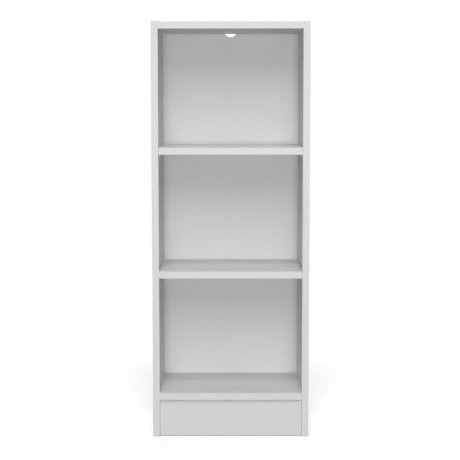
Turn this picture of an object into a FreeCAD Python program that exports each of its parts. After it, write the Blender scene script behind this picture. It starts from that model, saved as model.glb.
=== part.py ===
import FreeCAD, Part
import os
import Sketcher

# A narrow low bookcase of white melamine-faced chipboard. Two sides carry a top, a fixed bottom on a
# set-back plinth and, on small brackets, two loose shelves. A thin back slides in grooves of the sides
# and the top: two leaves of hardboard behind one white foil, which is the hinge of their fold. Cams with
# bolts, and dowels, join the boards.
# Millimetres. Seen from the front, +X is to the right, +Y to the back and +Z up. The origin is on the
# floor, under the middle of the case.

sizes = {
    # the case
    "case_width": 404,           # over both sides
    "case_depth": 268,           # front to rear edge of a side
    "board": 18,                 # thickness of every chipboard part
    "opening_height": 300,       # clear height of each of the three compartments
    "plinth_height": 95,         # floor to the underside of the bottom
    "plinth_setback": 5.5,       # plinth's face behind the front of the sides
    "plinth_lift": 0.5,          # the sides bear on the floor, the plinth stays just off it
    "plinth_end_gap": 0.5,       # at each side
    "top_drop": 1,               # top board's face below the top edges of the sides
    # edge banding
    "band": 0.8,                 # thickness
    "band_round": 0.5,           # radius of its long outer edges
    # loose shelves
    "shelf_end_gap": 0.25,       # at each side
    "shelf_rear_gap": 1,         # before the back panel
    # back panel
    "back_board": 3,             # leaves and foil together
    "back_foil": 0.2,
    "back_inset": 10,            # its rear face before the rear edges of the sides
    "groove_depth": 9,
    "groove_play": 0.2,          # before and behind the back in its groove
    "groove_end_gap": 0.3,       # between the back's edge and the floor of the groove
    "fold_offset": -3.6,         # fold line from the middle of the case
    "fold_gap": 0.4,             # saw cut between the two leaves
    "notch_radius": 18,          # half-round notch in the top edge
    # rows of fittings, front to back
    "row_inset": 37,             # front row from the front edge, rear row from the back panel
    "row_pitch": 32,             # from one fitting to the next, along a row or up a column
    # shelf supports
    "support_hole": 5,
    "support_hole_depth": 11,
    "support_play": 0.1,         # round the shank in its hole
    "support_shank": 10,         # length of the shank in the side
    "support_drop": 6,           # shank's axis below the shelf
    "support_plate": 1.5,        # thickness of the plate and the tongue
    "support_width": 10,
    "support_height": 12,
    "support_tongue": 14,        # how far the tongue reaches under the shelf
    # cams and their bolts
    "cam_reach": 34,             # cam's axis from the end of the board
    "cam_diameter": 15,
    "cam_skin": 4,               # board left above the cam's bore
    "cam_play": 0.1,             # round the cam in its bore
    "cam_end_gap": 0.3,          # above the cam in its bore
    "cam_grip_play": 0.5,        # round the bolt's head and neck inside the cam
    "cross_length": 9,           # screwdriver cross in the cam's face
    "cross_width": 1.8,
    "cross_depth": 2.5,
    "thread_diameter": 5,
    "thread_depth": 11,          # depth of the threaded end's hole in the side
    "thread_end_gap": 0.5,
    "bolt_play": 0.1,            # round the thread in its hole
    "shank_diameter": 6,
    "shank_bore": 7,
    "neck_diameter": 3.4,
    "head_diameter": 6,
    "head_length": 3,
    # dowels
    "dowel_diameter": 8,
    "dowel_play": 0.1,           # round the dowel in its bore
    "dowel_chamfer": 1,
    "dowel_in_side": 10,
    "dowel_in_board": 20,
    "dowel_end_gap": 0.5,        # left at each end of its bore
    "plinth_dowel_inset": 22,    # from the plinth's top and bottom edges
    # nails through the back
    "nail_inset": 34,            # outer nails from the inner faces of the sides
    "nail_diameter": 1.4,
    "nail_play": 0.1,
    "nail_length": 20,
    "nail_point": 2.5,
    "nail_end_gap": 0.5,
    "nail_head_diameter": 5,
    "nail_head": 0.8,
}

doc = FreeCAD.newDocument("bookcase")
sheet = doc.addObject("Spreadsheet::Sheet", "sizes")
for row, (name, value) in enumerate(sizes.items(), start=1):
    sheet.set(f"A{row}", name)
    sheet.set(f"B{row}", str(value))
    sheet.setAlias(f"B{row}", name)
doc.recompute()

# Places that several pieces share, as formulas over the sheet.
front = "(-sizes.case_depth / 2)"
rear = "(sizes.case_depth / 2)"
board_front = f"({front} + sizes.band)"
inner = "(sizes.case_width / 2 - sizes.board)"
back_rear = f"({rear} - sizes.back_inset)"
back_front = f"({back_rear} - sizes.back_board)"
back_side = f"({inner} + sizes.groove_depth - sizes.groove_end_gap)"

bottom_under = "sizes.plinth_height"
bottom_top = f"({bottom_under} + sizes.board)"
lower_under = f"({bottom_top} + sizes.opening_height)"
upper_under = f"({lower_under} + sizes.board + sizes.opening_height)"
top_under = f"({upper_under} + sizes.board + sizes.opening_height)"
case_top = f"({top_under} + sizes.board + sizes.top_drop)"
groove_top = f"({top_under} + sizes.groove_depth)"
back_top = f"({groove_top} - sizes.groove_end_gap)"

row_front = f"({front} + sizes.row_inset)"
row_rear = f"({back_front} - sizes.row_inset)"
row_span = f"({row_rear} - {row_front})"
dowel_front = f"({row_front} + sizes.row_pitch)"
dowel_rear = f"({row_rear} - sizes.row_pitch)"
dowel_span = f"({dowel_rear} - {dowel_front})"
mid_board = "(sizes.board / 2)"

plinth_face = f"({front} + sizes.plinth_setback)"
plinth_middle = f"({plinth_face} + {mid_board})"
plinth_dowel_low = "(sizes.plinth_lift + sizes.plinth_dowel_inset)"
plinth_dowel_high = f"({bottom_under} - sizes.plinth_dowel_inset)"

cam_axis = f"({inner} - sizes.cam_reach)"
nail_outer = f"({inner} - sizes.nail_inset)"
nail_inner = f"({nail_outer} / 3)"
nail_level = f"({bottom_under} + {mid_board})"


# Building blocks.
def number(formula):
    return float(sheet.evalExpression(formula))


def new_body(label, x="0", y="0", z="0"):
    body = doc.addObject("PartDesign::Body", label)
    body.Label = label
    body.AllowCompound = True
    for axis, place in zip("xyz", (x, y, z)):
        body.setExpression(f"Placement.Base.{axis}", place)
    return body


def origin_part(body, role):
    return next(item for item in body.Origin.OriginFeatures if item.Role == role)


def new_sketch(body, plane, offset="0"):
    sketch = body.newObject("Sketcher::SketchObject", f"{body.Name}_sketch")
    sketch.AttachmentSupport = (origin_part(body, plane), [""])
    sketch.MapMode = "FlatFace"
    sketch.setExpression("AttachmentOffset.Base.z", offset)
    return sketch


def bind(sketch, kind, *where, formula):
    constraint = Sketcher.Constraint(kind, *where, number(formula))
    sketch.setExpression(f"Constraints[{sketch.addConstraint(constraint)}]", formula)


def bind_point(sketch, line, end, across, up):
    bind(sketch, "DistanceX", -1, 1, line, end, formula=across)
    bind(sketch, "DistanceY", -1, 1, line, end, formula=up)


def outline(sketch, corners):
    # a closed outline through the corners, each a pair of formulas from the sketch's origin
    points = [FreeCAD.Vector(number(across), number(up), 0) for across, up in corners]
    lines = [
        sketch.addGeometry(Part.LineSegment(start, end), False)
        for start, end in zip(points, points[1:] + points[:1])
    ]
    for line, following in zip(lines, lines[1:] + lines[:1]):
        sketch.addConstraint(Sketcher.Constraint("Coincident", line, 2, following, 1))
    for line, (across, up) in zip(lines, corners):
        bind_point(sketch, line, 1, across, up)


def rectangle(sketch, left, right, low, high):
    outline(sketch, [(left, low), (right, low), (right, high), (left, high)])


def circles(sketch, centres, diameter):
    for across, up in centres:
        centre = FreeCAD.Vector(number(across), number(up), 0)
        ring = Part.Circle(centre, FreeCAD.Vector(0, 0, 1), number(diameter) / 2)
        index = sketch.addGeometry(ring, False)
        bind_point(sketch, index, 3, across, up)
        bind(sketch, "Diameter", index, formula=diameter)


def pad(body, sketch, length, reverse=False):
    feature = body.newObject("PartDesign::Pad", f"{body.Name}_pad")
    feature.Profile = sketch
    feature.setExpression("Length", length)
    feature.Reversed = reverse
    body.Tip = feature
    return feature


def pocket(body, sketch, depth, reverse=False):
    doc.recompute()
    before = body.Shape.Volume
    feature = body.newObject("PartDesign::Pocket", f"{body.Name}_pocket")
    feature.Profile = sketch
    feature.setExpression("Length", depth)
    feature.Reversed = reverse
    body.Tip = feature
    doc.recompute()
    if not body.Shape.Volume < before:
        raise ValueError(f"{feature.Label} cuts nothing")
    return feature


def revolve(body, sketch):
    # a full turn about the sketch's own horizontal axis
    feature = body.newObject("PartDesign::Revolution", f"{body.Name}_revolution")
    feature.Profile = sketch
    feature.ReferenceAxis = (sketch, ["H_Axis"])
    feature.Angle = 360
    body.Tip = feature
    return feature


def mirror_bores(body, bores):
    # the same bores at the other end of the board
    feature = body.newObject("PartDesign::Mirrored", f"{body.Name}_mirror")
    feature.Originals = bores
    feature.MirrorPlane = (origin_part(body, "YZ_Plane"), [""])
    body.Tip = feature


def repeat(body, axis, span, count=2, both_ends=True):
    # the whole piece again along the axis and, where wanted, mirrored to the other end
    doc.recompute()
    group = body.newObject("PartDesign::MultiTransform", f"{body.Name}_group")
    group.TransformMode = "Whole shape"
    row = body.newObject("PartDesign::LinearPattern", f"{body.Name}_row")
    row.Direction = (origin_part(body, axis), [""])
    row.setExpression("Length", span)
    row.Occurrences = count
    steps = [row]
    if both_ends:
        other_end = body.newObject("PartDesign::Mirrored", f"{body.Name}_other_end")
        other_end.MirrorPlane = (origin_part(body, "YZ_Plane"), [""])
        steps.append(other_end)
    group.Transformations = steps
    body.Tip = group


# Boards.
def side_panel(label, hand):
    # hand is -1 for the left side and 1 for the right. The inner face is at the body's own x = 0.
    body = new_body(label, x=f"{hand} * {inner}")
    left = hand < 0
    face = new_sketch(body, "YZ_Plane")
    rectangle(face, board_front, rear, "0", f"{case_top} - sizes.band")
    pad(body, face, "sizes.board", reverse=left)

    groove = new_sketch(body, "YZ_Plane")
    groove_front = f"{back_front} - sizes.groove_play"
    groove_rear = f"{back_rear} + sizes.groove_play"
    rectangle(groove, groove_front, groove_rear, "0", groove_top)
    pocket(body, groove, "sizes.groove_depth", reverse=not left)

    threads = new_sketch(body, "YZ_Plane")
    levels = [f"{under} + {mid_board}" for under in (bottom_under, top_under)]
    circles(threads, [(y, z) for y in (row_front, row_rear) for z in levels], "sizes.thread_diameter")
    pocket(body, threads, "sizes.thread_depth", reverse=not left)

    dowels = new_sketch(body, "YZ_Plane")
    centres = [(y, z) for y in (dowel_front, dowel_rear) for z in levels]
    centres += [(plinth_middle, plinth_dowel_low), (plinth_middle, plinth_dowel_high)]
    circles(dowels, centres, "sizes.dowel_diameter + 2 * sizes.dowel_play")
    pocket(body, dowels, "sizes.dowel_in_side + sizes.dowel_end_gap", reverse=not left)

    # each shelf can go one hole up or down
    holes = new_sketch(body, "YZ_Plane")
    for under in (lower_under, upper_under):
        for step in (-1, 0, 1):
            level = f"{under} - sizes.support_drop + {step} * sizes.row_pitch"
            circles(holes, [(row_front, level), (row_rear, level)], "sizes.support_hole")
    pocket(body, holes, "sizes.support_hole_depth", reverse=not left)


def end_bores(body, rows, levels, diameter, depth):
    # bores in the board's right end, for a mirror to repeat in the left one
    sketch = new_sketch(body, "YZ_Plane", inner)
    circles(sketch, [(y, z) for y in rows for z in levels], diameter)
    return pocket(body, sketch, depth)


def fixed_board(label, level, depth_end):
    # a board between the sides, from the front band to depth_end, with its cam and dowel bores
    body = new_body(label, z=level)
    face = new_sketch(body, "XY_Plane")
    rectangle(face, f"-{inner}", inner, board_front, depth_end)
    pad(body, face, "sizes.board")

    cams = new_sketch(body, "XY_Plane")
    cam_bore = "sizes.cam_diameter + 2 * sizes.cam_play"
    circles(cams, [(cam_axis, row_front), (cam_axis, row_rear)], cam_bore)
    bores = [pocket(body, cams, "sizes.board - sizes.cam_skin", reverse=True)]
    bores.append(end_bores(body, (row_front, row_rear), [mid_board], "sizes.shank_bore", "sizes.cam_reach"))
    dowel_bore = "sizes.dowel_diameter + 2 * sizes.dowel_play"
    dowel_depth = "sizes.dowel_in_board + sizes.dowel_end_gap"
    bores.append(end_bores(body, (dowel_front, dowel_rear), [mid_board], dowel_bore, dowel_depth))
    mirror_bores(body, bores)
    return body


def top_panel():
    body = fixed_board("top_panel", top_under, rear)
    groove = new_sketch(body, "XY_Plane")
    groove_front = f"{back_front} - sizes.groove_play"
    groove_rear = f"{back_rear} + sizes.groove_play"
    rectangle(groove, f"-{inner}", inner, groove_front, groove_rear)
    pocket(body, groove, "sizes.groove_depth", reverse=True)


def bottom_shelf():
    body = fixed_board("bottom_shelf", bottom_under, back_front)
    nails = new_sketch(body, "XZ_Plane", f"-{back_front}")
    centres = [(x, mid_board) for x in (f"-{nail_outer}", f"-{nail_inner}", nail_inner, nail_outer)]
    circles(nails, centres, "sizes.nail_diameter + 2 * sizes.nail_play")
    pocket(body, nails, "sizes.nail_length - sizes.back_board + sizes.nail_end_gap", reverse=True)


def loose_shelf(label, level):
    body = new_body(label, z=level)
    face = new_sketch(body, "XY_Plane")
    end = f"{inner} - sizes.shelf_end_gap"
    rectangle(face, f"-({end})", end, board_front, f"{back_front} - sizes.shelf_rear_gap")
    pad(body, face, "sizes.board")


def plinth():
    body = new_body("plinth")
    face = new_sketch(body, "XZ_Plane", f"-{plinth_face}")
    end = f"{inner} - sizes.plinth_end_gap"
    rectangle(face, f"-({end})", end, "sizes.plinth_lift", bottom_under)
    pad(body, face, "sizes.board", reverse=True)
    levels = [plinth_dowel_low, plinth_dowel_high]
    dowel_bore = "sizes.dowel_diameter + 2 * sizes.dowel_play"
    bore = end_bores(body, [plinth_middle], levels, dowel_bore, "sizes.dowel_in_board + sizes.dowel_end_gap")
    mirror_bores(body, [bore])


# Back panel. The rear face of the leaves is at the bodies' own y = 0.
def back_layer(label, left_edge, right_edge, near, thickness, nail_places):
    # a layer from its rear face at near to the front, with its share of the notch and the nail holes
    body = new_body(label, y=back_rear)
    face = new_sketch(body, "XZ_Plane", near)
    rectangle(face, left_edge, right_edge, bottom_under, back_top)
    pad(body, face, thickness)

    notch = new_sketch(body, "XZ_Plane", near)
    circles(notch, [("0", back_top)], "2 * sizes.notch_radius")
    pocket(body, notch, thickness, reverse=True)

    nails = new_sketch(body, "XZ_Plane", near)
    circles(nails, [(x, nail_level) for x in nail_places], "sizes.nail_diameter + 2 * sizes.nail_play")
    pocket(body, nails, thickness, reverse=True)


# Edge banding. The outer face of each strip is at its body's own zero.
def round_strip(body, strip, outer, along):
    # rounds the two edges of the outer face that run along the strip
    doc.recompute()
    edges = []
    for index, edge in enumerate(strip.Shape.Edges, start=1):
        start, end = (vertex.Point for vertex in edge.Vertexes)
        on_face = abs(start[outer]) < 1e-6 and abs(end[outer]) < 1e-6
        if on_face and abs(end[along] - start[along]) > 1e-6:
            edges.append(f"Edge{index}")
    fillet = body.newObject("PartDesign::Fillet", f"{body.Name}_fillet")
    fillet.Base = (strip, edges)
    fillet.setExpression("Radius", "min(sizes.band_round; sizes.band * 0.9)")
    body.Tip = fillet


def side_front_band(label, hand):
    body = new_body(label, x=f"{hand} * (sizes.case_width / 2 - {mid_board})", y=front)
    section = new_sketch(body, "XY_Plane")
    rectangle(section, f"-{mid_board}", mid_board, "0", "sizes.band")
    round_strip(body, pad(body, section, case_top), outer=1, along=2)


def side_top_band(label, hand):
    body = new_body(label, x=f"{hand} * (sizes.case_width / 2 - {mid_board})", z=case_top)
    section = new_sketch(body, "XY_Plane")
    rectangle(section, f"-{mid_board}", mid_board, board_front, rear)
    round_strip(body, pad(body, section, "sizes.band", reverse=True), outer=2, along=1)


def front_band(label, level, end):
    body = new_body(label, y=front, z=level)
    section = new_sketch(body, "XY_Plane")
    rectangle(section, f"-({end})", end, "0", "sizes.band")
    round_strip(body, pad(body, section, "sizes.board"), outer=1, along=0)


# Fittings. Each is made once, at the right and in front, and repeated.
def shelf_supports(label, level):
    body = new_body(label, y=row_front, z=level)
    profile = new_sketch(body, "XZ_Plane", "-sizes.support_width / 2")
    plate = f"{inner} - sizes.support_plate"
    tip = f"{plate} - sizes.support_tongue"
    corners = [
        (inner, "0"),
        (inner, "-sizes.support_height"),
        (plate, "-sizes.support_height"),
        (plate, "-sizes.support_plate"),
        (tip, "-sizes.support_plate"),
        (tip, "0"),
    ]
    outline(profile, corners)
    pad(body, profile, "sizes.support_width")

    shank = new_sketch(body, "YZ_Plane", inner)
    circles(shank, [("0", "-sizes.support_drop")], "sizes.support_hole - 2 * sizes.support_play")
    pad(body, shank, "sizes.support_shank")
    repeat(body, "Y_Axis", row_span)


def cam_housings(label, level):
    body = new_body(label, y=row_front, z=level)
    face = new_sketch(body, "XY_Plane")
    circles(face, [(cam_axis, "0")], "sizes.cam_diameter")
    pad(body, face, "sizes.board - sizes.cam_skin - sizes.cam_end_gap")

    # the way in for the bolt's neck, then the room for its head
    neck = new_sketch(body, "YZ_Plane", cam_axis)
    half_neck = "(sizes.neck_diameter / 2 + sizes.cam_grip_play)"
    rectangle(neck, f"-{half_neck}", half_neck, f"{mid_board} - {half_neck}", f"{mid_board} + {half_neck}")
    pocket(body, neck, "sizes.cam_diameter", reverse=True)
    head = new_sketch(body, "YZ_Plane", f"{cam_axis} + sizes.head_length / 2 + sizes.cam_grip_play")
    half_head = "(sizes.head_diameter / 2 + sizes.cam_grip_play)"
    rectangle(head, f"-{half_head}", half_head, f"{mid_board} - {half_head}", f"{mid_board} + {half_head}")
    pocket(body, head, "sizes.head_length + 2 * sizes.cam_grip_play")

    for across, up in (("cross_length", "cross_width"), ("cross_width", "cross_length")):
        slot = new_sketch(body, "XY_Plane")
        left, right = f"{cam_axis} - sizes.{across} / 2", f"{cam_axis} + sizes.{across} / 2"
        rectangle(slot, left, right, f"-sizes.{up} / 2", f"sizes.{up} / 2")
        pocket(body, slot, "sizes.cross_depth", reverse=True)
    repeat(body, "Y_Axis", row_span)


def cam_bolts(label, level):
    body = new_body(label, y=row_front, z=f"{level} + {mid_board}")
    profile = new_sketch(body, "XY_Plane")
    thread_end = f"{inner} + sizes.thread_depth - sizes.thread_end_gap"
    thread_radius = "sizes.thread_diameter / 2 - sizes.bolt_play"
    shank_end = f"{cam_axis} + sizes.cam_diameter / 2 + sizes.cam_grip_play"
    head_near = f"{cam_axis} + sizes.head_length / 2"
    head_far = f"{cam_axis} - sizes.head_length / 2"
    corners = [
        (thread_end, "0"),
        (thread_end, thread_radius),
        (inner, thread_radius),
        (inner, "sizes.shank_diameter / 2"),
        (shank_end, "sizes.shank_diameter / 2"),
        (shank_end, "sizes.neck_diameter / 2"),
        (head_near, "sizes.neck_diameter / 2"),
        (head_near, "sizes.head_diameter / 2"),
        (head_far, "sizes.head_diameter / 2"),
        (head_far, "0"),
    ]
    outline(profile, corners)
    revolve(body, profile)
    repeat(body, "Y_Axis", row_span)


def dowels(label, y, z, axis, span):
    body = new_body(label, y=y, z=z)
    profile = new_sketch(body, "XY_Plane")
    board_end = f"{inner} - sizes.dowel_in_board"
    side_end = f"{inner} + sizes.dowel_in_side"
    radius = "sizes.dowel_diameter / 2"
    narrow = f"{radius} - sizes.dowel_chamfer"
    corners = [
        (board_end, "0"),
        (board_end, narrow),
        (f"{board_end} + sizes.dowel_chamfer", radius),
        (f"{side_end} - sizes.dowel_chamfer", radius),
        (side_end, narrow),
        (side_end, "0"),
    ]
    outline(profile, corners)
    revolve(body, profile)
    repeat(body, axis, span)


def back_nails():
    body = new_body("back_nails", y=back_rear, z=nail_level)
    profile = new_sketch(body, "YZ_Plane", f"-{nail_outer}")
    radius = "sizes.nail_diameter / 2"
    corners = [
        ("sizes.nail_head", "0"),
        ("sizes.nail_head", "sizes.nail_head_diameter / 2"),
        ("0", "sizes.nail_head_diameter / 2"),
        ("0", radius),
        ("sizes.nail_point - sizes.nail_length", radius),
        ("-sizes.nail_length", "0"),
    ]
    outline(profile, corners)
    revolve(body, profile)
    repeat(body, "X_Axis", f"2 * {nail_outer}", count=4, both_ends=False)


# The whole case.
for hand, side in ((-1, "left"), (1, "right")):
    side_panel(f"side_panel_{side}", hand)
    side_front_band(f"side_front_band_{side}", hand)
    side_top_band(f"side_top_band_{side}", hand)

top_panel()
bottom_shelf()
plinth()
front_band("top_front_band", top_under, inner)
front_band("bottom_shelf_band", bottom_under, inner)

for place, level in (("upper", upper_under), ("lower", lower_under)):
    loose_shelf(f"shelf_{place}", level)
    front_band(f"shelf_{place}_band", level, f"{inner} - sizes.shelf_end_gap")
    shelf_supports(f"shelf_supports_{place}", level)

leaf = "(sizes.back_board - sizes.back_foil)"
fold_left = "sizes.fold_offset - sizes.fold_gap / 2"
fold_right = "sizes.fold_offset + sizes.fold_gap / 2"
nails_left, nails_right = (f"-{nail_outer}", f"-{nail_inner}"), (nail_inner, nail_outer)
back_layer("back_panel_left", f"-{back_side}", fold_left, "0", leaf, nails_left)
back_layer("back_panel_right", fold_right, back_side, "0", leaf, nails_right)
back_layer("back_foil", f"-{back_side}", back_side, leaf, "sizes.back_foil", nails_left + nails_right)
back_nails()

for place, level in (("top", top_under), ("bottom", bottom_under)):
    cam_housings(f"cam_housings_{place}", level)
    cam_bolts(f"cam_bolts_{place}", level)
    dowels(f"dowels_{place}", dowel_front, f"{level} + {mid_board}", "Y_Axis", dowel_span)
plinth_dowel_span = f"{plinth_dowel_high} - {plinth_dowel_low}"
dowels("dowels_plinth", plinth_middle, plinth_dowel_low, "Z_Axis", plinth_dowel_span)

doc.recompute()
failed = [item.Label for item in doc.Objects if {"Invalid", "Error"} & set(item.State)]
pieces = [item for item in doc.Objects if item.TypeId == "PartDesign::Body"]
failed += [piece.Label for piece in pieces if piece.Shape.isNull() or not piece.Shape.isValid()]
if failed:
    raise ValueError(f"failed: {failed}")

os.makedirs("parts", exist_ok=True)
for piece in pieces:
    piece.Shape.exportStep(f"parts/{piece.Label}.step")
print(f"{len(pieces)} nodes, {sum(len(piece.Shape.Solids) for piece in pieces)} solids")
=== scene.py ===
import math

import bmesh
import bpy
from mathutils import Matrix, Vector


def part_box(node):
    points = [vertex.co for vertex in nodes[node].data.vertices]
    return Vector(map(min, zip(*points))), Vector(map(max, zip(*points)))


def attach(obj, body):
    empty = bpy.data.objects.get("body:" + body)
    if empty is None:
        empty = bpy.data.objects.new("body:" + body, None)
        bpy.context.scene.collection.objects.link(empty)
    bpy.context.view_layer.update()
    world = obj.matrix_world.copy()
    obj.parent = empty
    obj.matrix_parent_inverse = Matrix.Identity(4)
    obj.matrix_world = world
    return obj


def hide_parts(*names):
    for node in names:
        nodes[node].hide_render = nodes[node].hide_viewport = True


# A narrow white bookcase. Everything is in metres, and mm turns a size in millimetres into metres.
mm = 0.001
noiseSpan = {"From Min": 0.3, "From Max": 0.7}  # most values of a noise texture lie in it
quadSides = ((0, 1), (1, 2), (2, 3), (3, 0))    # neighbouring corners of a four-sided section
sharpAngle = 35                                 # degrees; faces that meet at more keep a hard edge

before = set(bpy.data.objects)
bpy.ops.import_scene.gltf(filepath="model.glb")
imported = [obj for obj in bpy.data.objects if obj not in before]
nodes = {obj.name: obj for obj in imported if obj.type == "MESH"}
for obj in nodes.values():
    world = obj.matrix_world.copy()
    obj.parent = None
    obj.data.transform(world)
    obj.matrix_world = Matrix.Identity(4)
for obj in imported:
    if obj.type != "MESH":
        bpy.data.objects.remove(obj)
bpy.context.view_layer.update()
print("frame loaded:", len(nodes), "nodes")


def linear(hexColour):
    # an sRGB colour such as "E8E8E6" as linear red, green, blue and alpha
    channels = [int(hexColour[i : i + 2], 16) / 255 for i in (0, 2, 4)]
    return [c / 12.92 if c < 0.04045 else ((c + 0.055) / 1.055) ** 2.4 for c in channels] + [1]


def addNode(tree, kind, inputs=None, stops=(), **settings):
    # inputs maps a socket's name or number to a value, or to the node or output that is linked to it;
    # stops are a colour ramp's (position, sRGB colour) pairs, the ones at its two ends first
    node = tree.nodes.new(kind)
    for name, value in settings.items():
        setattr(node, name, value)
    for key, value in (inputs or {}).items():
        named = [socket for socket in node.inputs if socket.enabled and socket.name == key]
        socket = named[0] if named else node.inputs[key]
        if isinstance(value, bpy.types.Node):
            value = next(output for output in value.outputs if output.enabled)
        if isinstance(value, bpy.types.NodeSocket):
            tree.links.new(value, socket)
        else:
            socket.default_value = value
    for number, (position, colour) in enumerate(stops):
        elements = node.color_ramp.elements
        element = elements[number] if number < 2 else elements.new(position)
        element.position, element.color = position, linear(colour)
    return node


def newMaterial(name):
    material = bpy.data.materials.new(name)
    material.use_nodes = True
    material.node_tree.nodes.clear()
    return material, material.node_tree


def newPiece(name, shape, material=None):
    # the bmesh as an object of the scene
    data = bpy.data.meshes.new(name)
    shape.to_mesh(data)
    shape.free()
    if material:
        data.materials.append(material)
    piece = bpy.data.objects.new(name, data)
    bpy.context.scene.collection.objects.link(piece)
    return piece


def dress(node, material):
    nodes[node].data.materials.clear()
    nodes[node].data.materials.append(material)


# Melamine-faced chipboard: decor paper pressed with melamine resin on a pearl plate, which leaves an
# even satin white with a very fine grain. Where the board is cut or drilled, its wood chips show.
board = {
    "face": "DADADA",
    "faceShade": "D8D8D8",       # faint blotches of the paper
    "blotch": 60 * mm,
    "ior": 1.5,
    "roughness": (0.5, 0.58),
    "pearl": 1.2 * mm,           # really about 0.5 mm, drawn coarser so that it can show
    "pearlHeight": 0.008 * mm,
    "skin": 0.15 * mm,           # a point this near to the outer face is on the paper,
    "square": 0.9,               # where the surface also faces across the board at least this much
    "fineLayer": 3 * mm,         # the dense outer layers of small chips
    "chip": (5 * mm, 1.3 * mm),  # length and thickness in the core
    "fineChip": (1.8 * mm, 0.6 * mm),
    "chips": ((0.0, "745636"), (1.0, "E8D6B4"), (0.15, "A07C54"), (0.5, "C6A478"), (0.8, "DCC298")),
    "chipBend": 0.7,             # waves of the noise that bends the chips, for each chip's length
    "chipHeight": 0.3 * mm,
    "chipRoughness": 0.9,
    "axes": {                    # the axis of each board's thickness
        "side_panel_left": 0,
        "side_panel_right": 0,
        "top_panel": 2,
        "bottom_shelf": 2,
        "shelf_upper": 2,
        "shelf_lower": 2,
        "plinth": 1,
    },
}


def chips(tree, place, size, across):
    # chips lie flat in the board, so they are cells that are long in its plane and thin across it
    scale = [1 / size[0]] * 3
    scale[across] = 1 / size[1]
    flat = addNode(tree, "ShaderNodeMapping", {"Vector": place, "Scale": scale})
    wobble = addNode(tree, "ShaderNodeTexNoise", {"Vector": flat, "Scale": board["chipBend"]})
    bent = addNode(tree, "ShaderNodeVectorMath", {0: flat, 1: wobble.outputs["Color"]}, operation="ADD")
    cells = addNode(tree, "ShaderNodeTexVoronoi", {"Vector": bent, "Scale": 1.0})
    tone = addNode(tree, "ShaderNodeSeparateColor", {"Color": cells.outputs["Color"]})
    return addNode(tree, "ShaderNodeValToRGB", {"Fac": tone}, stops=board["chips"])


def melamineBoard(node, across):
    low, high = (corner[across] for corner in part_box(node))
    material, tree = newMaterial(f"melamine-faced chipboard, {node}")
    space = addNode(tree, "ShaderNodeTexCoord").outputs
    place = space["Object"]

    # the paper is where the surface faces across the board and lies on its outer face
    depth = addNode(tree, "ShaderNodeSeparateXYZ", {0: place}).outputs[across]
    facing = addNode(tree, "ShaderNodeSeparateXYZ", {0: space["Normal"]}).outputs[across]
    offset = addNode(tree, "ShaderNodeMath", {0: depth, 1: (low + high) / 2}, operation="SUBTRACT")
    fromMiddle = addNode(tree, "ShaderNodeMath", {0: offset}, operation="ABSOLUTE")
    steep = addNode(tree, "ShaderNodeMath", {0: facing}, operation="ABSOLUTE")
    square = addNode(tree, "ShaderNodeMath", {0: steep, 1: board["square"]}, operation="GREATER_THAN")
    edge = (high - low) / 2 - board["skin"]
    outside = addNode(tree, "ShaderNodeMath", {0: fromMiddle, 1: edge}, operation="GREATER_THAN")
    paper = addNode(tree, "ShaderNodeMath", {0: square, 1: outside}, operation="MULTIPLY")

    dense = {0: fromMiddle, 1: (high - low) / 2 - board["fineLayer"]}
    nearFace = addNode(tree, "ShaderNodeMath", dense, operation="GREATER_THAN")
    layers = {
        "Factor": nearFace,
        "A": chips(tree, place, board["chip"], across),
        "B": chips(tree, place, board["fineChip"], across),
    }
    wood = addNode(tree, "ShaderNodeMix", layers, data_type="RGBA")
    cloud = addNode(tree, "ShaderNodeTexNoise", {"Vector": place, "Scale": 1 / board["blotch"]})
    whites = {"Factor": cloud, "A": linear(board["face"]), "B": linear(board["faceShade"])}
    white = addNode(tree, "ShaderNodeMix", whites, data_type="RGBA")
    colour = addNode(tree, "ShaderNodeMix", {"Factor": paper, "A": wood, "B": white}, data_type="RGBA")

    pearl = addNode(tree, "ShaderNodeTexNoise", {"Vector": place, "Scale": 1 / board["pearl"]})
    lowRough, highRough = board["roughness"]
    satinRange = {"Value": pearl, **noiseSpan, "To Min": lowRough, "To Max": highRough}
    satin = addNode(tree, "ShaderNodeMapRange", satinRange)
    rough = addNode(tree, "ShaderNodeMix", {"Factor": paper, "A": board["chipRoughness"], "B": satin})
    light = addNode(tree, "ShaderNodeRGBToBW", {"Color": wood})
    pits = addNode(tree, "ShaderNodeBump", {"Height": light, "Distance": board["chipHeight"]})
    sheen = addNode(tree, "ShaderNodeBump", {"Height": pearl, "Distance": board["pearlHeight"]})
    relief = addNode(tree, "ShaderNodeMix", {"Factor": paper, "A": pits, "B": sheen}, data_type="VECTOR")
    surface = {"Base Color": colour, "Roughness": rough, "Normal": relief, "IOR": board["ior"]}
    shader = addNode(tree, "ShaderNodeBsdfPrincipled", surface)
    addNode(tree, "ShaderNodeOutputMaterial", {"Surface": shader})
    return material


for node, across in board["axes"].items():
    dress(node, melamineBoard(node, across))
print("boards dressed")


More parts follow.
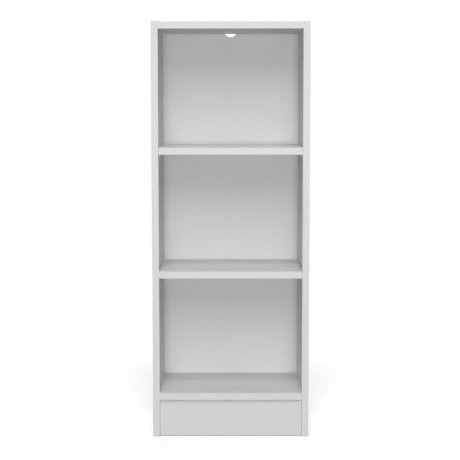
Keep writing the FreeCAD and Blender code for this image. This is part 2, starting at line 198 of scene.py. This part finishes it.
def whiteFinish(name, finish, mark=None):
    # a satin white skin: faint blotches of colour, and a grain that moves its gloss and its relief;
    # mark, where it is given, draws on the white, as painted shade along the back's fold
    material, tree = newMaterial(name)
    place = addNode(tree, "ShaderNodeTexCoord").outputs["Object"]
    cloud = addNode(tree, "ShaderNodeTexNoise", {"Vector": place, "Scale": 1 / finish["blotch"]})
    whites = {"Factor": cloud, "A": linear(finish["colour"]), "B": linear(finish["shade"])}
    white = addNode(tree, "ShaderNodeMix", whites, data_type="RGBA")
    if mark:
        white = mark(tree, place, white)
    grainInputs = {"Vector": place, "Scale": 1 / finish["grain"], "Detail": 4.0, "Roughness": 0.6}
    grain = addNode(tree, "ShaderNodeTexNoise", grainInputs)
    low, high = finish["roughness"]
    satinRange = {"Value": grain, **noiseSpan, "To Min": low, "To Max": high}
    satin = addNode(tree, "ShaderNodeMapRange", satinRange)
    relief = addNode(tree, "ShaderNodeBump", {"Height": grain, "Distance": finish["height"]})
    surface = {"Base Color": white, "Roughness": satin, "Normal": relief, "IOR": finish["ior"]}
    shader = addNode(tree, "ShaderNodeBsdfPrincipled", surface)
    addNode(tree, "ShaderNodeOutputMaterial", {"Surface": shader})
    return material


# Edge banding: strips of resin-bonded decor edging, a little smoother than the faces, with the faint
# marks of the trimmer along them.
edging = {
    "colour": "DADADA",
    "shade": "D8D8D8",
    "blotch": 45 * mm,
    "ior": 1.5,
    "roughness": (0.37, 0.43),
    "grain": 1.5 * mm,           # drawn coarser than the real marks
    "height": 0.006 * mm,
}

banding = whiteFinish("edge banding, satin white", edging)
for node in nodes:
    if "_band" in node:
        dress(node, banding)
print("edge banding dressed")


# The back's foil: printed paper with a white lacquer, which runs over both leaves. It dips a little into
# the saw cut between them, where it is the hinge of the fold. The board's fibres just tell through it.
foil = {
    "colour": "E2E2E2",
    "shade": "DDDDDD",
    "blotch": 80 * mm,
    "ior": 1.48,
    "roughness": (0.45, 0.55),
    "grain": 3 * mm,
    "height": 0.02 * mm,
    "creaseDepth": 0.12 * mm,
    "creaseHalf": 0.6 * mm,
    "creaseSteps": 6,
    # painted shade: the grey that the foil is drawn with along the fold, for the shade in its crease
    "creasePaintedShade": "DADADA",
    "creaseReach": 1.6 * mm,     # the painted shade fades out this far from the fold
    "notchRadius": 18 * mm,
    "notchSteps": 40,
}


def foldPlace():
    return (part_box("back_panel_left")[1].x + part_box("back_panel_right")[0].x) / 2


def foldPaintedShade(tree, place, white):
    # painted shade in the crease: over the saw cut the foil is drawn a little greyer, fading out from
    # the fold
    across = addNode(tree, "ShaderNodeSeparateXYZ", {0: place})
    offset = addNode(tree, "ShaderNodeMath", {0: across, 1: foldPlace()}, operation="SUBTRACT")
    away = addNode(tree, "ShaderNodeMath", {0: offset}, operation="ABSOLUTE")
    fade = {"Value": away, "From Min": 0.0, "From Max": foil["creaseReach"]}
    fade |= {"To Min": 1.0, "To Max": 0.0}
    strength = addNode(tree, "ShaderNodeMapRange", fade, interpolation_type="SMOOTHSTEP")
    shades = {"Factor": strength, "A": white, "B": linear(foil["creasePaintedShade"])}
    return addNode(tree, "ShaderNodeMix", shades, data_type="RGBA")


def foilColumns(low, high, fold):
    # places along X: both edges, the steps of the crease and those of the notch's arc
    half, steps, turns = foil["creaseHalf"], foil["creaseSteps"], foil["notchSteps"]
    crease = [fold + half * (2 * step / steps - 1) for step in range(steps + 1)]
    arc = [-foil["notchRadius"] * math.cos(math.pi * step / turns) for step in range(turns + 1)]
    clear = [x for x in arc if abs(x - fold) > half]
    return sorted([low.x, high.x, *crease, *clear])


def backFoil():
    low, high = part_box("back_foil")
    fold = foldPlace()
    shape = bmesh.new()
    columns = []
    for x in foilColumns(low, high, fold):
        fromFold = min(1, abs(x - fold) / foil["creaseHalf"])
        front = low.y + foil["creaseDepth"] * (1 + math.cos(math.pi * fromFold)) / 2
        top = high.z - math.sqrt(max(0, foil["notchRadius"] ** 2 - x**2))
        corners = [(front, low.z), (front, top), (high.y, top), (high.y, low.z)]
        columns.append([shape.verts.new((x, y, z)) for y, z in corners])
    for left, right in zip(columns, columns[1:]):
        for i, j in quadSides:
            shape.faces.new((left[i], left[j], right[j], right[i]))
    shape.faces.new(columns[0])
    shape.faces.new(columns[-1])
    bmesh.ops.recalc_face_normals(shape, faces=shape.faces)
    piece = newPiece("backFoil", shape, whiteFinish("lacquered paper foil, white", foil, foldPaintedShade))
    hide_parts("back_foil")
    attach(piece, "case")


# The leaves behind the foil: raw hardboard, pressed from wood fibres, brown and felted, with darker
# strands and specks of bark.
hardboard = {
    "browns": ((0.25, "7C5A3A"), (0.75, "A5825B"), (0.5, "93704C")),
    "bark": "5A3F28",
    "blotch": 35 * mm,
    "fibre": (9 * mm, 0.9 * mm),  # length and width of the strands, drawn coarser than they are
    "speck": 2.2 * mm,
    "speckSize": 0.12,           # radius, as a share of the distance between specks
    "ior": 1.45,
    "roughness": (0.7, 0.86),
    "height": 0.12 * mm,
}


def rawHardboard():
    material, tree = newMaterial("raw hardboard")
    place = addNode(tree, "ShaderNodeTexCoord").outputs["Object"]
    length, width = hardboard["fibre"]
    bends = addNode(tree, "ShaderNodeTexNoise", {"Vector": place, "Scale": 1 / length}).outputs["Color"]
    swirl = addNode(tree, "ShaderNodeVectorMath", {0: bends, "Scale": length}, operation="SCALE")
    felted = addNode(tree, "ShaderNodeVectorMath", {0: place, 1: swirl}, operation="ADD")
    strands = {"Vector": felted, "Scale": (1 / width, 1 / width, 1 / length)}
    strandPlace = addNode(tree, "ShaderNodeMapping", strands)
    fibres = addNode(tree, "ShaderNodeTexNoise", {"Vector": strandPlace, "Scale": 1.0, "Detail": 3.0})
    cloud = addNode(tree, "ShaderNodeTexNoise", {"Vector": place, "Scale": 1 / hardboard["blotch"]})
    tone = addNode(tree, "ShaderNodeMix", {"Factor": 0.5, "A": fibres, "B": cloud})
    brown = addNode(tree, "ShaderNodeValToRGB", {"Fac": tone}, stops=hardboard["browns"])
    cells = addNode(tree, "ShaderNodeTexVoronoi", {"Vector": place, "Scale": 1 / hardboard["speck"]})
    near = {0: cells, 1: hardboard["speckSize"]}
    isSpeck = addNode(tree, "ShaderNodeMath", near, operation="LESS_THAN")
    specks = {"Factor": isSpeck, "A": brown, "B": linear(hardboard["bark"])}
    colour = addNode(tree, "ShaderNodeMix", specks, data_type="RGBA")
    low, high = hardboard["roughness"]
    roughRange = {"Value": fibres, **noiseSpan, "To Min": low, "To Max": high}
    rough = addNode(tree, "ShaderNodeMapRange", roughRange)
    relief = addNode(tree, "ShaderNodeBump", {"Height": fibres, "Distance": hardboard["height"]})
    surface = {"Base Color": colour, "Roughness": rough, "Normal": relief, "IOR": hardboard["ior"]}
    shader = addNode(tree, "ShaderNodeBsdfPrincipled", surface)
    addNode(tree, "ShaderNodeOutputMaterial", {"Surface": shader})
    return material


backFoil()
leafMaterial = rawHardboard()
for node in ("back_panel_left", "back_panel_right"):
    dress(node, leafMaterial)
print("back dressed")


# Metals and wood of the fittings. Zinc plating on steel is grey with a faint cold and warm bloom,
# die-cast zinc is dull with a sandy skin, and beech is pale with short brown flecks along the grain.
plating = {
    "tones": ((0.35, "8F9397"), (0.65, "A6A7A5")),
    "bloom": 6 * mm,
    "ior": 1.5,
    "metallic": 1.0,
    "roughness": (0.36, 0.5),
    "grain": 0.5 * mm,
    "stretch": (1, 1, 0.15),     # the rolled strip's fine lines run up and down
    "height": 0.01 * mm,
}
dieCast = {
    "tones": ((0.35, "8E9093"), (0.65, "A6A8AA")),
    "bloom": 3 * mm,
    "ior": 1.5,
    "metallic": 1.0,
    "roughness": (0.45, 0.6),
    "grain": 0.35 * mm,
    "stretch": (1, 1, 1),
    "height": 0.03 * mm,
}
beech = {
    "tones": ((0.3, "A97B4E"), (0.7, "D2AC7E")),
    "bloom": 2.5 * mm,
    "ior": 1.45,
    "metallic": 0.0,
    "roughness": (0.55, 0.7),
    "grain": 0.6 * mm,
    "stretch": (0.08, 1, 1),
    "height": 0.05 * mm,
}


def grainedFinish(name, finish):
    # two tones that follow a cloud and a grain, which also moves the gloss and the relief
    material, tree = newMaterial(name)
    place = addNode(tree, "ShaderNodeTexCoord").outputs["Object"]
    along = addNode(tree, "ShaderNodeMapping", {"Vector": place, "Scale": finish["stretch"]})
    cloud = addNode(tree, "ShaderNodeTexNoise", {"Vector": along, "Scale": 1 / finish["bloom"]})
    grain = addNode(tree, "ShaderNodeTexNoise", {"Vector": along, "Scale": 1 / finish["grain"]})
    tone = addNode(tree, "ShaderNodeMix", {"Factor": 0.4, "A": cloud, "B": grain})
    colour = addNode(tree, "ShaderNodeValToRGB", {"Fac": tone}, stops=finish["tones"])
    low, high = finish["roughness"]
    roughRange = {"Value": grain, **noiseSpan, "To Min": low, "To Max": high}
    rough = addNode(tree, "ShaderNodeMapRange", roughRange)
    relief = addNode(tree, "ShaderNodeBump", {"Height": grain, "Distance": finish["height"]})
    surface = {"Base Color": colour, "Roughness": rough, "Normal": relief}
    surface |= {"Metallic": finish["metallic"], "IOR": finish["ior"]}
    shader = addNode(tree, "ShaderNodeBsdfPrincipled", surface)
    addNode(tree, "ShaderNodeOutputMaterial", {"Surface": shader})
    return material


# Fittings. One of each is modelled where it sits in front at the right, and Geometry Nodes set it again
# along its row and at the other end of the board.
def newRowTree():
    tree = bpy.data.node_groups.new("row of fittings", "GeometryNodeTree")
    sockets = {
        "Fitting": "Geometry",
        "Count": "Int",
        "Step": "Vector",
        "Both Ends": "Bool",
        "Finish": "Material",
    }
    for name, kind in sockets.items():
        tree.interface.new_socket(name, in_out="INPUT", socket_type=f"NodeSocket{kind}")
    tree.interface.new_socket("Row", in_out="OUTPUT", socket_type="NodeSocketGeometry")
    given = addNode(tree, "NodeGroupInput").outputs
    places = addNode(tree, "GeometryNodeMeshLine", {"Count": given["Count"], "Offset": given["Step"]})
    copies = {"Points": places, "Instance": given["Fitting"]}
    instances = addNode(tree, "GeometryNodeInstanceOnPoints", copies)
    oneEnd = addNode(tree, "GeometryNodeRealizeInstances", {"Geometry": instances})
    mirrored = addNode(tree, "GeometryNodeTransform", {"Geometry": oneEnd, "Scale": (-1, 1, 1)})
    outward = addNode(tree, "GeometryNodeFlipFaces", {"Mesh": mirrored})
    choice = {"Switch": given["Both Ends"], "True": outward}
    otherEnd = addNode(tree, "GeometryNodeSwitch", choice, input_type="GEOMETRY")
    joined = addNode(tree, "GeometryNodeJoinGeometry", {"Geometry": otherEnd})
    tree.links.new(oneEnd.outputs["Geometry"], joined.inputs["Geometry"])
    real = addNode(tree, "GeometryNodeRealizeInstances", {"Geometry": joined})
    finished = addNode(tree, "GeometryNodeSetMaterial", {"Geometry": real, "Material": given["Finish"]})
    addNode(tree, "NodeGroupOutput", {"Row": finished})
    return tree


rowTree = newRowTree()


def makePlain(piece):
    # the result of the modifiers becomes the piece's own mesh
    evaluated = piece.evaluated_get(bpy.context.evaluated_depsgraph_get())
    plain = bpy.data.meshes.new_from_object(evaluated)
    piece.modifiers.clear()
    piece.data = plain


def layRow(piece, finish, node, step, count=2, bothEnds=True):
    # turns the one fitting into its whole row, a plain mesh that stands for the node
    row = piece.modifiers.new("row", "NODES")
    row.node_group = rowTree
    given = {"Count": count, "Step": step, "Both Ends": bothEnds, "Finish": finish}
    for socket in rowTree.interface.items_tree:
        if socket.name in given:
            row[socket.identifier] = given[socket.name]
    makePlain(piece)
    piece.data.shade_smooth()
    piece.data.set_sharp_from_angle(angle=math.radians(sharpAngle))
    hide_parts(node)
    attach(piece, "case")


def chamfered(start, end, radius, chamfer):
    # the profile of a plain cylinder for turn
    profile = [(start, 0), (start, radius - chamfer), (start + chamfer, radius)]
    return profile + [(end - chamfer, radius), (end, radius - chamfer), (end, 0)]


def turn(shape, axis, centre, profile, steps, reach=None):
    # a solid turned about the axis through centre. profile is (place along the axis, radius) points, and
    # reach, where it is given, works out the radius from a place, its radius and the angle.
    first, second = (axis + 1) % 3, (axis + 2) % 3
    rings = []
    for along, radius in profile:
        ring = []
        for angle in (math.tau * step / steps for step in range(steps if radius else 1)):
            point = Vector(centre)
            out = reach(along, radius, angle) if reach else radius
            point[axis] = along
            point[first] += out * math.cos(angle)
            point[second] += out * math.sin(angle)
            ring.append(shape.verts.new(point))
        rings.append(ring)
    for near, far in zip(rings, rings[1:]):
        for i in range(steps):
            j = (i + 1) % steps
            start = [near[0]] if len(near) == 1 else [near[i], near[j]]
            end = [far[0]] if len(far) == 1 else [far[j], far[i]]
            shape.faces.new(start + end)
    bmesh.ops.recalc_face_normals(shape, faces=shape.faces)


# Shelf supports: brackets bent from plated strip, with round ends and a riveted shank.
support = {
    "thickness": 1.5 * mm,
    "width": 10 * mm,
    "plate": 12 * mm,            # height of the plate on the side's inner face
    "tongue": 14 * mm,           # reach under the shelf, from the plate
    "bendRadius": 1.1 * mm,      # at the middle of the strip
    "bendSteps": 5,
    "endRadius": 3 * mm,
    "endSteps": 6,
    "shank": 10 * mm,
    "shankRadius": 2.4 * mm,
    "shankDrop": 6 * mm,         # shank's axis below the shelf
    "chamfer": 0.7 * mm,
    "rivetRadius": 3.2 * mm,
    "rivetHeight": 0.7 * mm,
    "rivetSteps": 4,
    "sides": 24,                 # round the shank and the rivet
}


def supportStations(rise, bendLength, length):
    # places along the strip, close together at its round ends and in its bend
    radius, steps = support["endRadius"], support["endSteps"]
    ends = [radius * (1 - math.cos(math.pi / 2 * step / steps)) for step in range(steps + 1)]
    bend = [rise + bendLength * step / support["bendSteps"] for step in range(support["bendSteps"] + 1)]
    return ends + bend + [length - end for end in reversed(ends)]


def supportStrip(shape, corner):
    # runs up the plate, round the bend and out along the tongue
    half, bend, end = support["thickness"] / 2, support["bendRadius"], support["endRadius"]
    rise = support["plate"] - half - bend
    bendLength = bend * math.pi / 2
    length = rise + bendLength + half + support["tongue"] - bend
    rings = []
    for along in supportStations(rise, bendLength, length):
        fromRound = end - min(along, length - along, end)
        across = support["width"] / 2 - end + math.sqrt(end**2 - fromRound**2)
        angle = max(0, min(math.pi / 2, (along - rise) / bend))
        flat = max(0, along - rise - bendLength)
        upright = max(0, rise - along)
        middle = corner - Vector((half + bend - bend * math.cos(angle) + flat, 0, 0))
        middle -= Vector((0, 0, half + bend - bend * math.sin(angle) + upright))
        outward = Vector((math.cos(angle), 0, math.sin(angle))) * half
        sideways = Vector((0, across, 0))
        section = (outward - sideways, outward + sideways, sideways - outward, -outward - sideways)
        rings.append([shape.verts.new(middle + point) for point in section])
    for near, far in zip(rings, rings[1:]):
        for i, j in quadSides:
            shape.faces.new((near[i], near[j], far[j], far[i]))
    shape.faces.new(rings[0])
    shape.faces.new(rings[-1])


def shelfSupports(place, finish):
    node = f"shelf_supports_{place}"
    low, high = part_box(node)
    corner = Vector((high.x - support["shank"], low.y + support["width"] / 2, high.z))
    shape = bmesh.new()
    supportStrip(shape, corner)
    axis = corner - Vector((0, 0, support["shankDrop"]))
    plateFace = corner.x - support["thickness"]
    tilts = [math.pi / 2 * step / support["rivetSteps"] for step in range(support["rivetSteps"], 0, -1)]
    rivet, radius, chamfer = support["rivetRadius"], support["shankRadius"], support["chamfer"]
    rise = support["rivetHeight"]
    dome = [(plateFace - rise * math.sin(tilt), rivet * math.cos(tilt)) for tilt in tilts]
    dome[0] = (dome[0][0], 0)
    inPlate = plateFace + support["thickness"] / 2
    shank = [(plateFace, rivet), (inPlate, rivet), (inPlate, radius)]
    shank += [(high.x - chamfer, radius), (high.x, radius - chamfer), (high.x, 0)]
    turn(shape, 0, axis, dome + shank, support["sides"])
    piece = newPiece(f"shelfSupports{place.capitalize()}", shape)
    step = (0, high.y - low.y - support["width"], 0)
    layRow(piece, finish, node, step)


# Cams: die-cast discs with a chamfered rim, a cross for the screwdriver, a pointer that shows where the
# bolt goes in, and the room for the bolt's neck and head.
cam = {
    "radius": 7.5 * mm,
    "chamfer": 0.4 * mm,
    "crossLength": 9 * mm,
    "crossWidth": 1.8 * mm,
    "crossDepth": 2.5 * mm,
    "crossTaper": 0.7,           # width at the bottom of the cross, as a share
    "pointer": 1.6 * mm,
    "pointerDepth": 0.4 * mm,
    "boltLevel": 9 * mm,         # bolt's axis above the cam's face
    "neckRoom": 4.4 * mm,
    "headRoom": (4 * mm, 7 * mm),
    "sides": 48,
}


def wedge(corners, depths):
    # a closed block between two outlines of four corners, one at each depth
    shape = bmesh.new()
    near, far = ([shape.verts.new((x, y, z)) for x, y in outline] for outline, z in zip(corners, depths))
    for i, j in quadSides:
        shape.faces.new((near[i], near[j], far[j], far[i]))
    shape.faces.new(near)
    shape.faces.new(far)
    bmesh.ops.recalc_face_normals(shape, faces=shape.faces)
    return shape


def box2d(x, y, across, along):
    return [(x + i * across / 2, y + j * along / 2) for i, j in ((-1, -1), (1, -1), (1, 1), (-1, 1))]


def camCutters(centre, face):
    x, y = centre
    over = cam["chamfer"]        # how far a cutter stands out of the face
    bottom = face + cam["crossDepth"]
    arm, slit, taper = cam["crossLength"], cam["crossWidth"], cam["crossTaper"]
    cutters = []
    for along, across in ((arm, slit), (slit, arm)):
        outlines = box2d(x, y, along, across), box2d(x, y, along * taper, across * taper)
        cutters.append(wedge(outlines, (face - over, bottom)))
    tip, size = cam["radius"] - cam["chamfer"], cam["pointer"]
    base = x + tip - size
    triangle = [(x + tip, y), (base, y + size / 2), (base, y), (base, y - size / 2)]
    cutters.append(wedge((triangle, triangle), (face - over, face + cam["pointerDepth"])))
    level, neck, (headLength, head) = face + cam["boltLevel"], cam["neckRoom"] / 2, cam["headRoom"]
    reach = cam["radius"] * 2
    neckOutline = box2d(x + reach / 2, y, reach, 2 * neck)
    cutters.append(wedge((neckOutline, neckOutline), (level - neck, level + neck)))
    headOutline = box2d(x, y, headLength, head)
    cutters.append(wedge((headOutline, headOutline), (level - head / 2, level + head / 2)))
    return cutters


def camHousings(place, finish):
    node = f"cam_housings_{place}"
    low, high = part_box(node)
    radius = cam["radius"]
    x, y = high.x - radius, low.y + radius
    shape = bmesh.new()
    turn(shape, 2, (x, y, 0), chamfered(low.z, high.z, radius, cam["chamfer"]), cam["sides"])
    piece = newPiece(f"camHousings{place.capitalize()}", shape)
    cutters = [newPiece("cutter", cutter) for cutter in camCutters((x, y), low.z)]
    for cutter in cutters:
        cut = piece.modifiers.new("cut", "BOOLEAN")
        cut.object = cutter
    makePlain(piece)
    for cutter in cutters:
        bpy.data.objects.remove(cutter)
    layRow(piece, finish, node, (0, high.y - low.y - 2 * radius, 0))


# Bolts: turned in plated steel, with a round head, a thin neck that the cam grips, a shank and a coarse
# thread that screws into the side.
bolt = {
    "headRadius": 3 * mm,
    "headLength": 3 * mm,
    "headRound": 0.6 * mm,
    "neckRadius": 1.7 * mm,
    "neckEnd": 8 * mm,           # from the middle of the head
    "camReach": 34 * mm,         # from the middle of the head to the side's inner face
    "threadLength": 10.5 * mm,
    "threadRadius": 2.4 * mm,
    "rootRadius": 1.75 * mm,
    "pitch": 1.75 * mm,
    "pitchSteps": 7,
    "ridge": 1 / 3,              # half the width of a ridge, as a share of the pitch
    "tip": 2 * mm,               # the thread narrows over about this length
    "tipShare": 0.4,             # to this share of its radius
    "sides": 24,
}


def threadProfile(start, end):
    steps = round((end - start) / bolt["pitch"] * bolt["pitchSteps"])
    return [(start + (end - start) * step / steps, bolt["threadRadius"]) for step in range(steps + 1)]


def camBolts(place, finish):
    node = f"cam_bolts_{place}"
    low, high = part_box(node)
    threadStart = high.x - bolt["threadLength"]
    headMiddle = threadStart - bolt["camReach"]
    headNear, headFar = (headMiddle + side * bolt["headLength"] / 2 for side in (1, -1))
    head, neck, rounding = bolt["headRadius"], bolt["neckRadius"], bolt["headRound"]
    profile = [(headFar, 0), (headFar, head - rounding), (headFar + rounding, head), (headNear, head)]
    neckEnd = headMiddle + bolt["neckEnd"]
    profile += [(headNear, neck), (neckEnd, neck), (neckEnd, head)]
    profile += [(threadStart, head), *threadProfile(threadStart, high.x), (high.x, 0)]

    def threaded(along, radius, angle):
        if along < threadStart or radius > bolt["threadRadius"]:
            return radius
        phase = ((along - threadStart) / bolt["pitch"] - angle / math.tau) % 1
        ridge = max(0, 1 - abs(phase - 0.5) / bolt["ridge"])
        root, full = bolt["rootRadius"], bolt["threadRadius"]
        narrowed = min(1, (high.x - along) / bolt["tip"] + bolt["tipShare"])
        return (root + (full - root) * ridge) * narrowed

    shape = bmesh.new()
    centre = (0, low.y + head, (low.z + high.z) / 2)
    turn(shape, 0, centre, profile, bolt["sides"], threaded)
    piece = newPiece(f"camBolts{place.capitalize()}", shape)
    layRow(piece, finish, node, (0, high.y - low.y - 2 * head, 0))


# Dowels: beech, pressed with flutes that let the glue and the air past, and chamfered at both ends.
dowel = {
    "radius": 4 * mm,
    "length": 30 * mm,
    "chamfer": 1 * mm,
    "flutes": 20,
    "fluteDepth": 0.2 * mm,
    "fluteSteps": 4,
}


def fluted(along, radius, angle):
    return radius - dowel["fluteDepth"] * (1 - math.cos(angle * dowel["flutes"])) / 2


def dowels(place, finish, axis):
    # axis is the one along which the second dowel lies
    node = f"dowels_{place}"
    low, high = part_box(node)
    radius = dowel["radius"]
    profile = chamfered(high.x - dowel["length"], high.x, radius, dowel["chamfer"])
    shape = bmesh.new()
    centre = (0, low.y + radius, low.z + radius)
    turn(shape, 0, centre, profile, dowel["flutes"] * dowel["fluteSteps"], fluted)
    step = [0, 0, 0]
    step[axis] = high[axis] - low[axis] - 2 * radius
    layRow(newPiece(f"dowels{place.capitalize()}", shape), finish, node, step)


# Nails: plated, with a flat head that is a little dished inside its rim, and a point.
nail = {
    "count": 4,
    "radius": 0.7 * mm,
    "headRadius": 2.5 * mm,
    "head": 0.8 * mm,
    "rim": 0.25 * mm,
    "point": 2.5 * mm,
    "sides": 16,
}


def backNails(finish):
    low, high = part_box("back_nails")
    head, radius, rim = nail["headRadius"], nail["radius"], nail["rim"]
    under = high.y - nail["head"]
    profile = [(low.y, 0), (low.y + nail["point"], radius), (under, radius), (under, head)]
    profile += [(high.y - rim, head), (high.y, head - rim)]
    profile += [(high.y - rim / 2, head / 2), (high.y - rim / 2, 0)]
    shape = bmesh.new()
    turn(shape, 1, (low.x + head, 0, (low.z + high.z) / 2), profile, nail["sides"])
    count = nail["count"]
    step = ((high.x - low.x - 2 * head) / (count - 1), 0, 0)
    piece = newPiece("backNails", shape)
    layRow(piece, finish, "back_nails", step, count, bothEnds=False)


platedSteel = grainedFinish("zinc-plated steel", plating)
castZinc = grainedFinish("die-cast zinc", dieCast)
beechWood = grainedFinish("beech, turned", beech)
for place in ("upper", "lower"):
    shelfSupports(place, platedSteel)
for place in ("top", "bottom"):
    camHousings(place, castZinc)
    camBolts(place, platedSteel)
    dowels(place, beechWood, axis=1)
dowels("plinth", beechWood, axis=2)
backNails(platedSteel)
print("fittings made")


# Floor, light and camera. Lamps stand at an azimuth from the front, an elevation and a distance, and
# point at the middle of the case.
studio = {
    "floorSize": 6.0,            # beyond it, the white backdrop goes on
    "floorDrop": 1.2 * mm,       # leaves a thin line of shade under the sides
    "floor": "F8F8F8",
    "floorRoughness": 0.9,
    "floorBounce": "818181",
    "floorGlow": 0.13,           # brings the lit floor to the white of the backdrop
    "ambient": 0.04,             # strength of the room's own light
    "target": (0, 0, 0.55),
}
lamps = {
    "front": {"azimuth": 0, "elevation": 0.8, "distance": 12, "size": (2, 1.4), "power": 395},
    "high": {"azimuth": 0, "elevation": 35, "distance": 12, "size": (4.5, 7), "power": 550},
    "steep": {"azimuth": 0, "elevation": 60, "distance": 12, "size": (6, 3), "power": 480},
    "above": {"azimuth": 0, "elevation": 90, "distance": 8, "size": (2, 2), "power": 140},
    "left": {"azimuth": -100, "elevation": 1, "distance": 8, "size": (3, 1.2), "power": 370},
    "right": {"azimuth": 100, "elevation": 1, "distance": 8, "size": (3, 1.2), "power": 370},
    "behind": {"azimuth": 180, "elevation": 8, "distance": 8, "size": (3, 1), "power": 320},
}
view = {
    "place": (-0.0013, -3.3928, 0.8682),
    "down": 5.774,               # degrees
    "left": 0.006,
    "roll": 0.024,
    "lens": 100.11,              # mm, on a sensor 36 mm wide
    "sensor": 36,
}


def seenRays(tree):
    # 1 for the rays that show a surface itself, or its image in metal or glass
    rays = addNode(tree, "ShaderNodeLightPath").outputs
    mirrored = {0: rays["Is Glossy Ray"], 1: rays["Is Transmission Ray"]}
    either = addNode(tree, "ShaderNodeMath", mirrored, operation="MAXIMUM")
    return addNode(tree, "ShaderNodeMath", {0: rays["Is Camera Ray"], 1: either}, operation="MAXIMUM")


def makeFloor():
    # the paper shows white, but throws less light back, so that the undersides stay in shade
    material, tree = newMaterial("matt white studio paper")
    seen = seenRays(tree)
    tones = {"Factor": seen, "A": linear(studio["floorBounce"]), "B": linear(studio["floor"])}
    tone = addNode(tree, "ShaderNodeMix", tones, data_type="RGBA")
    glow = addNode(tree, "ShaderNodeMath", {0: seen, 1: studio["floorGlow"]}, operation="MULTIPLY")
    surface = {"Base Color": tone, "Roughness": studio["floorRoughness"]}
    surface |= {"Emission Color": linear("FFFFFF"), "Emission Strength": glow}
    shader = addNode(tree, "ShaderNodeBsdfPrincipled", surface)
    addNode(tree, "ShaderNodeOutputMaterial", {"Surface": shader})
    shape = bmesh.new()
    corners = box2d(0, 0, studio["floorSize"], studio["floorSize"])
    shape.faces.new([shape.verts.new((x, y, -studio["floorDrop"])) for x, y in corners])
    newPiece("floor", shape, material)


def makeWorld():
    world = bpy.data.worlds.new("studio")
    bpy.context.scene.world = world
    world.use_nodes = True
    tree = world.node_tree
    tree.nodes.clear()
    white = {"Color": (1, 1, 1, 1)}
    light = addNode(tree, "ShaderNodeBackground", {**white, "Strength": studio["ambient"]})
    backdrop = addNode(tree, "ShaderNodeBackground", {**white, "Strength": 1.0})
    both = addNode(tree, "ShaderNodeMixShader", {0: seenRays(tree), 1: light, 2: backdrop})
    addNode(tree, "ShaderNodeOutputWorld", {"Surface": both})


def makeLamp(name, azimuth, elevation, distance, size, power):
    data = bpy.data.lights.new(name, "AREA")
    data.shape = "RECTANGLE"
    data.size, data.size_y = size
    data.energy = power
    turned, raised = math.radians(azimuth), math.radians(elevation)
    level = math.cos(raised)
    outward = Vector((math.sin(turned) * level, -math.cos(turned) * level, math.sin(raised)))
    lamp = bpy.data.objects.new(name, data)
    lamp.location = Vector(studio["target"]) + outward * distance
    lamp.rotation_euler = outward.to_track_quat("Z", "Y").to_euler()
    lamp.visible_camera = False
    bpy.context.scene.collection.objects.link(lamp)


def makeCamera():
    data = bpy.data.cameras.new("camera")
    data.lens = view["lens"]
    data.sensor_width = view["sensor"]
    camera = bpy.data.objects.new("camera", data)
    camera.location = view["place"]
    turns = (90 - view["down"], view["roll"], view["left"])
    camera.rotation_euler = [math.radians(angle) for angle in turns]
    bpy.context.scene.collection.objects.link(camera)
    bpy.context.scene.camera = camera


makeFloor()
makeWorld()
for name, lamp in lamps.items():
    makeLamp(name, **lamp)
makeCamera()
bpy.context.scene.view_settings.view_transform = "Standard"
print("floor, light and camera set")
